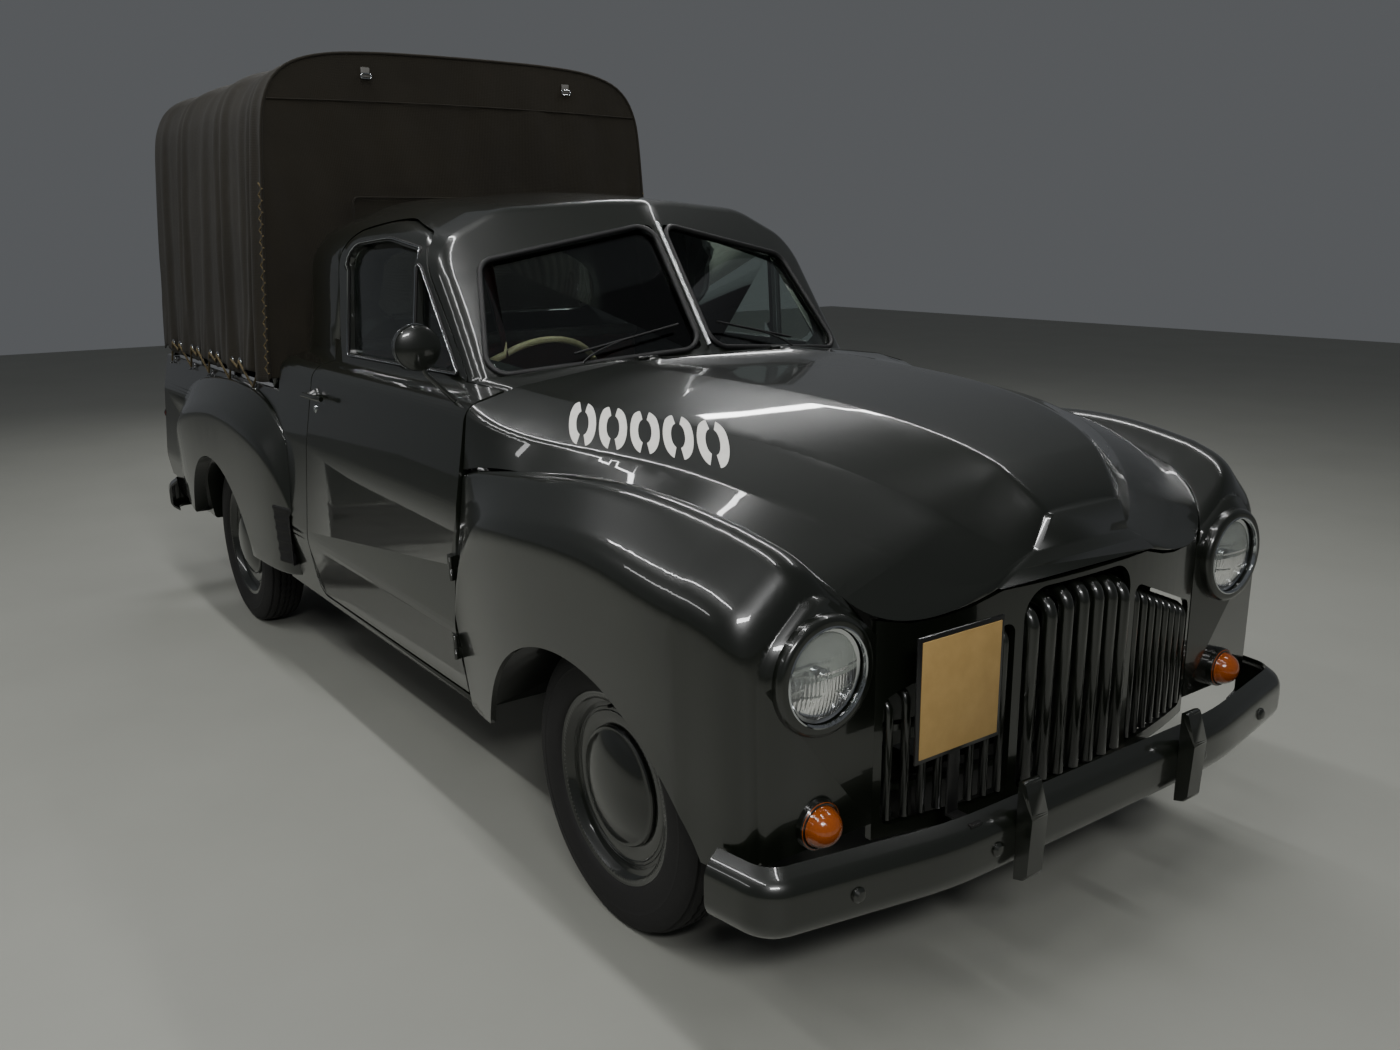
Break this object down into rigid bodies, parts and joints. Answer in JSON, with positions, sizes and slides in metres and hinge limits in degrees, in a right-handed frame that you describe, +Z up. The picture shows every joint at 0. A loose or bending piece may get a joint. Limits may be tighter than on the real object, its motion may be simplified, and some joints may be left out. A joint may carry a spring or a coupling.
{
  "type": "military coupe utility truck with canvas canopy",
  "caption": "Right-hand-drive coupe utility truck with a rounded steel cab, well-side tray and high canvas canopy; doors, bonnet, tailgate, steering and wheels move.",
  "frame": {"origin": "on the ground under the middle of the length, between the bumpers", "axes": "+X to the front of the vehicle, +Y to its left, +Z up"},
  "size_m": [4.37, 1.7064, 2.036],
  "materials": {
    "olive_paint": "deep gloss dark olive green enamel",
    "chassis_black": "satin black chassis paint",
    "tyre_rubber": "black vulcanised rubber",
    "clear_glass": "clear flat glass",
    "lamp_glass": "clear fluted lens glass",
    "amber_lens": "amber moulded lens",
    "red_lens": "red moulded lens",
    "canvas": "dull dark olive-brown proofed cotton canvas",
    "leathercloth": "maroon leathercloth with a grey piped top",
    "ivory_plastic": "pale moulded rim"
  },
  "bodies": {
    "body": {"cab_seat": "leathercloth", "cab_shell": "olive_paint", "canopy": "canvas", "canopy_frame": "olive_paint", "dashboard": "olive_paint", "engine": "chassis_black", "engine_bay_sides": "chassis_black", "exhaust": "chassis_black", "floor_pan": "chassis_black", "front_bumper": "olive_paint", "front_fender_left": "olive_paint", "front_fender_right": "olive_paint", "front_rails": "chassis_black", "front_suspension": "chassis_black", "fuel_tank": "chassis_black", "grille": "olive_paint", "headlamp_lenses": "lamp_glass", "headlamp_rims": "olive_paint", "leaf_springs": "chassis_black", "nose_apron": "olive_paint", "rear_axle": "chassis_black", "rear_bumper": "olive_paint", "rear_fender_left": "olive_paint", "rear_fender_right": "olive_paint", "rear_window": "clear_glass", "steering_wheel": "ivory_plastic", "tail_lamps": "red_lens", "tray_body": "olive_paint", "turn_lamps": "amber_lens", "windscreen": "clear_glass"},
    "knuckle_left": {"knuckle_left": "chassis_black"},
    "knuckle_right": {"knuckle_right": "chassis_black"},
    "front_wheel_left": {"wheel_front_left": "olive_paint", "tyre_front_left": "tyre_rubber"},
    "front_wheel_right": {"wheel_front_right": "olive_paint", "tyre_front_right": "tyre_rubber"},
    "rear_wheel_left": {"wheel_rear_left": "olive_paint", "tyre_rear_left": "tyre_rubber"},
    "rear_wheel_right": {"wheel_rear_right": "olive_paint", "tyre_rear_right": "tyre_rubber"},
    "door_left": {"door_left": "olive_paint", "door_glass_left": "clear_glass"},
    "door_right": {"door_right": "olive_paint", "door_glass_right": "clear_glass", "mirror_right": "olive_paint"},
    "bonnet": {"bonnet": "olive_paint"},
    "tailgate": {"tailgate": "olive_paint"}
  },
  "joints": [
    {"name": "steer_left", "type": "hinge", "parent": "body", "child": "knuckle_left", "pos_m": [1.4595, 0.611, 0.314], "axis": [0, 0, 1], "range_deg": [-32, 32]},
    {"name": "front_spin_left", "type": "hinge", "parent": "knuckle_left", "child": "front_wheel_left", "pos_m": [1.4595, 0.673, 0.314], "axis": [0, 1, 0], "continuous": true},
    {"name": "rear_spin_left", "type": "hinge", "parent": "body", "child": "rear_wheel_left", "pos_m": [-1.1565, 0.686, 0.314], "axis": [0, 1, 0], "continuous": true},
    {"name": "door_left_hinge", "type": "hinge", "parent": "body", "child": "door_left", "pos_m": [0.86, 0.799, 0.6], "axis": [0, 0, -1], "range_deg": [0, 65]},
    {"name": "steer_right", "type": "hinge", "parent": "body", "child": "knuckle_right", "pos_m": [1.4595, -0.611, 0.314], "axis": [0, 0, 1], "range_deg": [-32, 32]},
    {"name": "front_spin_right", "type": "hinge", "parent": "knuckle_right", "child": "front_wheel_right", "pos_m": [1.4595, -0.673, 0.314], "axis": [0, 1, 0], "continuous": true},
    {"name": "rear_spin_right", "type": "hinge", "parent": "body", "child": "rear_wheel_right", "pos_m": [-1.1565, -0.686, 0.314], "axis": [0, 1, 0], "continuous": true},
    {"name": "door_right_hinge", "type": "hinge", "parent": "body", "child": "door_right", "pos_m": [0.86, -0.799, 0.6], "axis": [0, 0, 1], "range_deg": [0, 65]},
    {"name": "bonnet_hinge", "type": "hinge", "parent": "body", "child": "bonnet", "pos_m": [0.86, 0, 1.134], "axis": [0, -1, 0], "range_deg": [0, 50]},
    {"name": "tailgate_hinge", "type": "hinge", "parent": "body", "child": "tailgate", "pos_m": [-2.1275, 0, 0.552], "axis": [0, -1, 0], "range_deg": [0, 90]}
  ],
  "couplings": [
    {"joint": "steer_right", "follows": "steer_left", "ratio": 1}
  ]
}
